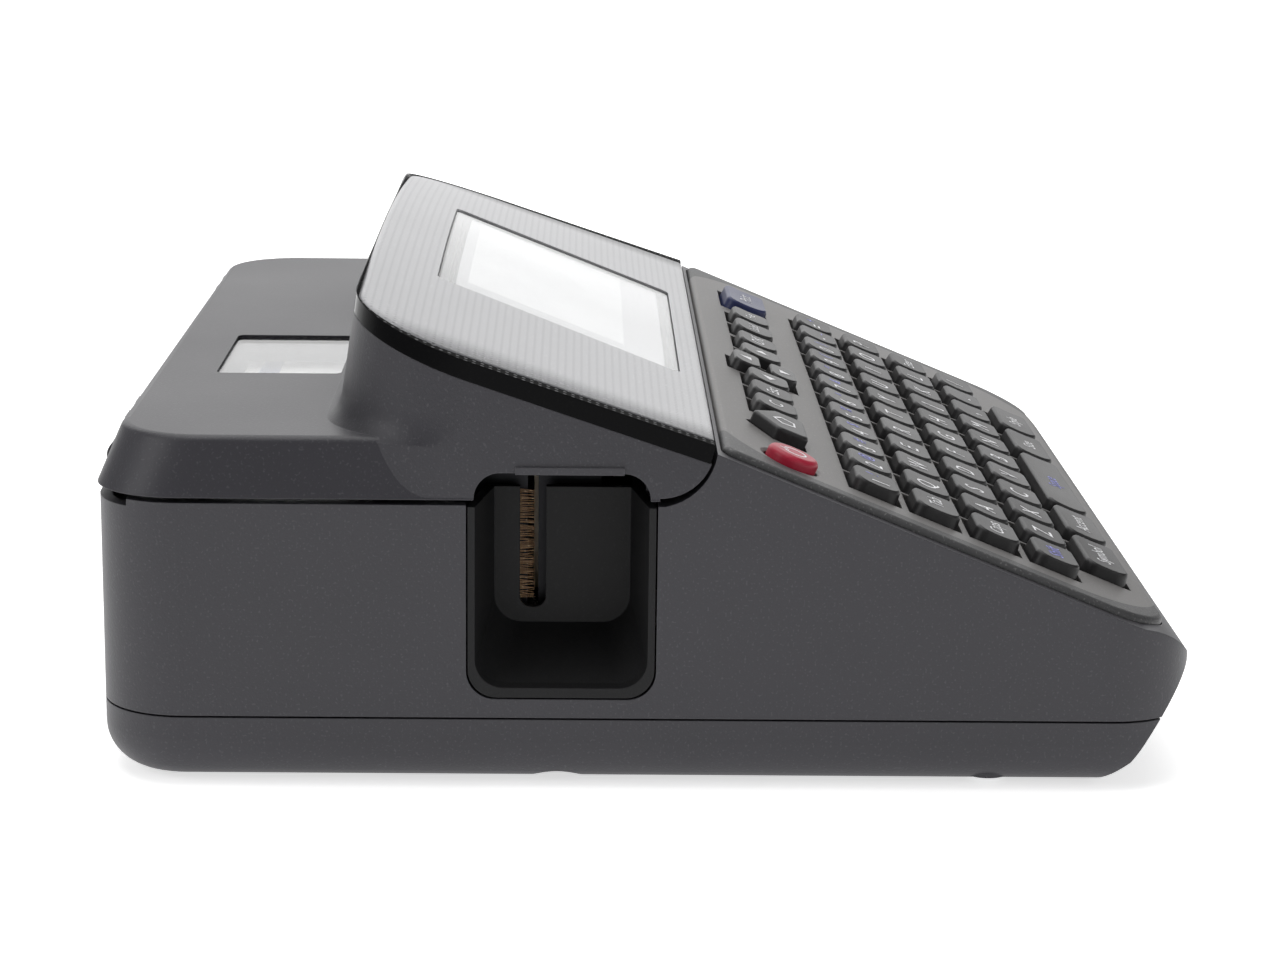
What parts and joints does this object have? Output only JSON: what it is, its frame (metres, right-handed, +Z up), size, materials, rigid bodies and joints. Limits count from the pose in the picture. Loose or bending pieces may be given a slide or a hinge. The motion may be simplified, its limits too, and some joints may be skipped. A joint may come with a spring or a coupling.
{
  "type": "label maker",
  "caption": "Desktop label maker with a hinged lid over its tape cassette, a sloping display, a full keyboard and a side slot where the cut label comes out.",
  "frame": {"origin": "on the resting surface, under the middle of the case", "axes": "+Z up, -Y towards the keyboard and the user, -X towards the side where the label comes out"},
  "size_m": [0.201, 0.192, 0.086],
  "materials": {
    "case_grey": "fine textured ABS",
    "panel_grey": "fine textured ABS",
    "mat_rubber": "silicone",
    "foot_rubber": "rubber",
    "circuit_board": "solder mask",
    "gloss_black": "polished",
    "silver_face": "silver print with fine dot rows",
    "clear_window": "clear acrylic",
    "screen": "liquid crystal panel",
    "dark_plastic": "ABS",
    "brown_bristle": "nylon bristle",
    "steel": "stamped",
    "aluminium": "extruded",
    "motor_metal": "drawn can",
    "ceramic": "glazed ceramic",
    "roller_rubber": "ground rubber",
    "white_gear": "acetal",
    "brass_gear": "machined",
    "cassette_plastic": "ABS",
    "label_tape": "laminated tape",
    "cell_jacket": "cell jacket",
    "contact_spring": "plated spring steel",
    "socket_plastic": "nylon",
    "socket_metal": "plated shell",
    "red_key": "moulded",
    "blue_key": "moulded",
    "black_key": "moulded"
  },
  "bodies": {
    "case": {"bottom_case": "case_grey", "main_case": "case_grey", "keyboard_panel": "panel_grey", "key_mat": "mat_rubber", "keyboard_board": "circuit_board", "exit_frame": "dark_plastic", "exit_brush": "brown_bristle", "print_chassis": "steel", "feed_motor": "motor_metal", "print_head": "ceramic", "heat_sink": "aluminium", "fixed_blade": "steel", "cutter_motor": "motor_metal", "cassette_bay": "dark_plastic", "cassette_shell": "cassette_plastic", "batteries": "cell_jacket", "battery_contacts": "contact_spring", "main_board": "circuit_board", "dc_socket": "socket_plastic", "usb_socket": "socket_metal", "rubber_feet": "foot_rubber", "case_screws": "steel", "hinge_pins": "steel"},
    "lid": {"top_lid": "case_grey", "display_trim": "gloss_black", "display_bezel": "silver_face", "display_window": "clear_window", "lcd_module": "screen", "lid_window": "clear_window"},
    "roller_arm": {"roller_holder": "dark_plastic"},
    "platen": {"platen_roller": "roller_rubber", "platen_gear": "white_gear"},
    "idler": {"idler_gear": "white_gear"},
    "pinion": {"motor_pinion": "brass_gear"},
    "spool": {"label_spool": "label_tape"},
    "blade": {"cutter_blade": "steel"},
    "blade_gear": {"cutter_gear": "white_gear"},
    "cover": {"battery_cover": "case_grey"},
    "power_key": {"power_key": "red_key"},
    "home_key": {"home_key": "black_key"},
    "clear_key": {"clear_key": "black_key"},
    "escape_key": {"escape_key": "black_key"},
    "left_key": {"left_key": "black_key"},
    "up_key": {"up_key": "black_key"},
    "down_key": {"down_key": "black_key"},
    "right_key": {"right_key": "black_key"},
    "ok_key": {"ok_key": "black_key"},
    "label_key": {"label_key": "black_key"},
    "file_key": {"file_key": "black_key"},
    "print_key": {"print_key": "blue_key"},
    "digit_keys": {"digit_keys": "black_key"},
    "tab_key": {"tab_key": "black_key"},
    "upper_letter_keys": {"upper_letter_keys": "black_key"},
    "caps_key": {"caps_key": "black_key"},
    "middle_letter_keys": {"middle_letter_keys": "black_key"},
    "enter_key": {"enter_key": "black_key"},
    "shift_key": {"shift_key": "black_key"},
    "lower_letter_keys": {"lower_letter_keys": "black_key"},
    "command_keys": {"command_keys": "black_key"},
    "space_key": {"space_key": "black_key"}
  },
  "joints": [
    {"name": "lid_hinge", "type": "hinge", "parent": "case", "child": "lid", "pos_m": [0, 0.093, 0.0536], "axis": [-1, 0, 0], "range_deg": [0, 75]},
    {"name": "roller_release", "type": "hinge", "parent": "case", "child": "roller_arm", "pos_m": [-0.0474, 0.02905, 0.03], "axis": [0, 0, -1], "range_deg": [0, 6.05]},
    {"name": "platen_spin", "type": "hinge", "parent": "roller_arm", "child": "platen", "pos_m": [-0.063, 0.0255, 0.03], "axis": [0, 0, 1], "continuous": true},
    {"name": "idler_spin", "type": "hinge", "parent": "case", "child": "idler", "pos_m": [-0.059, 0.00795, 0.02], "axis": [0, 0, 1], "continuous": true},
    {"name": "motor_spin", "type": "hinge", "parent": "case", "child": "pinion", "pos_m": [-0.04361, 0.00541, 0.02], "axis": [0, 0, 1], "continuous": true},
    {"name": "spool_spin", "type": "hinge", "parent": "case", "child": "spool", "pos_m": [-0.012, 0.0555, 0.04], "axis": [0, 0, 1], "continuous": true},
    {"name": "blade_slide", "type": "slide", "parent": "case", "child": "blade", "axis": [0, -1, 0], "range_m": [0, 0.0045]},
    {"name": "blade_gear_spin", "type": "hinge", "parent": "case", "child": "blade_gear", "pos_m": [-0.0735, 0.035, 0.02], "axis": [0, 0, 1], "range_deg": [0, 61.6]},
    {"name": "battery_cover_release", "type": "slide", "parent": "case", "child": "cover", "axis": [0, 0, -1], "range_m": [0, 0.012]},
    {"name": "power_key_press", "type": "slide", "parent": "case", "child": "power_key", "axis": [0, 0.3795, -0.9252], "range_m": [0, 0.0012], "stiffness_N_per_m": 400, "springref_m": -0.0006},
    {"name": "home_key_press", "type": "slide", "parent": "case", "child": "home_key", "axis": [0, 0.3795, -0.9252], "range_m": [0, 0.0012], "stiffness_N_per_m": 400, "springref_m": -0.0006},
    {"name": "clear_key_press", "type": "slide", "parent": "case", "child": "clear_key", "axis": [0, 0.3795, -0.9252], "range_m": [0, 0.0012], "stiffness_N_per_m": 400, "springref_m": -0.0006},
    {"name": "escape_key_press", "type": "slide", "parent": "case", "child": "escape_key", "axis": [0, 0.3795, -0.9252], "range_m": [0, 0.0012], "stiffness_N_per_m": 400, "springref_m": -0.0006},
    {"name": "left_key_press", "type": "slide", "parent": "case", "child": "left_key", "axis": [0, 0.3795, -0.9252], "range_m": [0, 0.0012], "stiffness_N_per_m": 400, "springref_m": -0.0006},
    {"name": "up_key_press", "type": "slide", "parent": "case", "child": "up_key", "axis": [0, 0.3795, -0.9252], "range_m": [0, 0.0012], "stiffness_N_per_m": 400, "springref_m": -0.0006},
    {"name": "down_key_press", "type": "slide", "parent": "case", "child": "down_key", "axis": [0, 0.3795, -0.9252], "range_m": [0, 0.0012], "stiffness_N_per_m": 400, "springref_m": -0.0006},
    {"name": "right_key_press", "type": "slide", "parent": "case", "child": "right_key", "axis": [0, 0.3795, -0.9252], "range_m": [0, 0.0012], "stiffness_N_per_m": 400, "springref_m": -0.0006},
    {"name": "ok_key_press", "type": "slide", "parent": "case", "child": "ok_key", "axis": [0, 0.3795, -0.9252], "range_m": [0, 0.0012], "stiffness_N_per_m": 400, "springref_m": -0.0006},
    {"name": "label_key_press", "type": "slide", "parent": "case", "child": "label_key", "axis": [0, 0.3795, -0.9252], "range_m": [0, 0.0012], "stiffness_N_per_m": 400, "springref_m": -0.0006},
    {"name": "file_key_press", "type": "slide", "parent": "case", "child": "file_key", "axis": [0, 0.3795, -0.9252], "range_m": [0, 0.0012], "stiffness_N_per_m": 400, "springref_m": -0.0006},
    {"name": "print_key_press", "type": "slide", "parent": "case", "child": "print_key", "axis": [0, 0.3795, -0.9252], "range_m": [0, 0.0012], "stiffness_N_per_m": 400, "springref_m": -0.0006},
    {"name": "digit_keys_press", "type": "slide", "parent": "case", "child": "digit_keys", "axis": [0, 0.3795, -0.9252], "range_m": [0, 0.0012], "stiffness_N_per_m": 2880, "springref_m": -0.0006},
    {"name": "tab_key_press", "type": "slide", "parent": "case", "child": "tab_key", "axis": [0, 0.3795, -0.9252], "range_m": [0, 0.0012], "stiffness_N_per_m": 400, "springref_m": -0.0006},
    {"name": "upper_letter_keys_press", "type": "slide", "parent": "case", "child": "upper_letter_keys", "axis": [0, 0.3795, -0.9252], "range_m": [0, 0.0012], "stiffness_N_per_m": 2640, "springref_m": -0.0006},
    {"name": "caps_key_press", "type": "slide", "parent": "case", "child": "caps_key", "axis": [0, 0.3795, -0.9252], "range_m": [0, 0.0012], "stiffness_N_per_m": 400, "springref_m": -0.0006},
    {"name": "middle_letter_keys_press", "type": "slide", "parent": "case", "child": "middle_letter_keys", "axis": [0, 0.3795, -0.9252], "range_m": [0, 0.0012], "stiffness_N_per_m": 2160, "springref_m": -0.0006},
    {"name": "enter_key_press", "type": "slide", "parent": "case", "child": "enter_key", "axis": [0, 0.3795, -0.9252], "range_m": [0, 0.0012], "stiffness_N_per_m": 400, "springref_m": -0.0006},
    {"name": "shift_key_press", "type": "slide", "parent": "case", "child": "shift_key", "axis": [0, 0.3795, -0.9252], "range_m": [0, 0.0012], "stiffness_N_per_m": 400, "springref_m": -0.0006},
    {"name": "lower_letter_keys_press", "type": "slide", "parent": "case", "child": "lower_letter_keys", "axis": [0, 0.3795, -0.9252], "range_m": [0, 0.0012], "stiffness_N_per_m": 2400, "springref_m": -0.0006},
    {"name": "command_keys_press", "type": "slide", "parent": "case", "child": "command_keys", "axis": [0, 0.3795, -0.9252], "range_m": [0, 0.0012], "stiffness_N_per_m": 960, "springref_m": -0.0006},
    {"name": "space_key_press", "type": "slide", "parent": "case", "child": "space_key", "axis": [0, 0.3795, -0.9252], "range_m": [0, 0.0012], "stiffness_N_per_m": 400, "springref_m": -0.0006}
  ],
  "couplings": [
    {"joint": "roller_release", "follows": "lid_hinge", "ratio": 0.08},
    {"joint": "platen_spin", "follows": "spool_spin", "ratio": 4.5},
    {"joint": "idler_spin", "follows": "spool_spin", "ratio": -2.25},
    {"joint": "motor_spin", "follows": "spool_spin", "ratio": 7.5},
    {"joint": "blade_gear_spin", "follows": "blade_slide", "rad_per_m": 238.1}
  ]
}
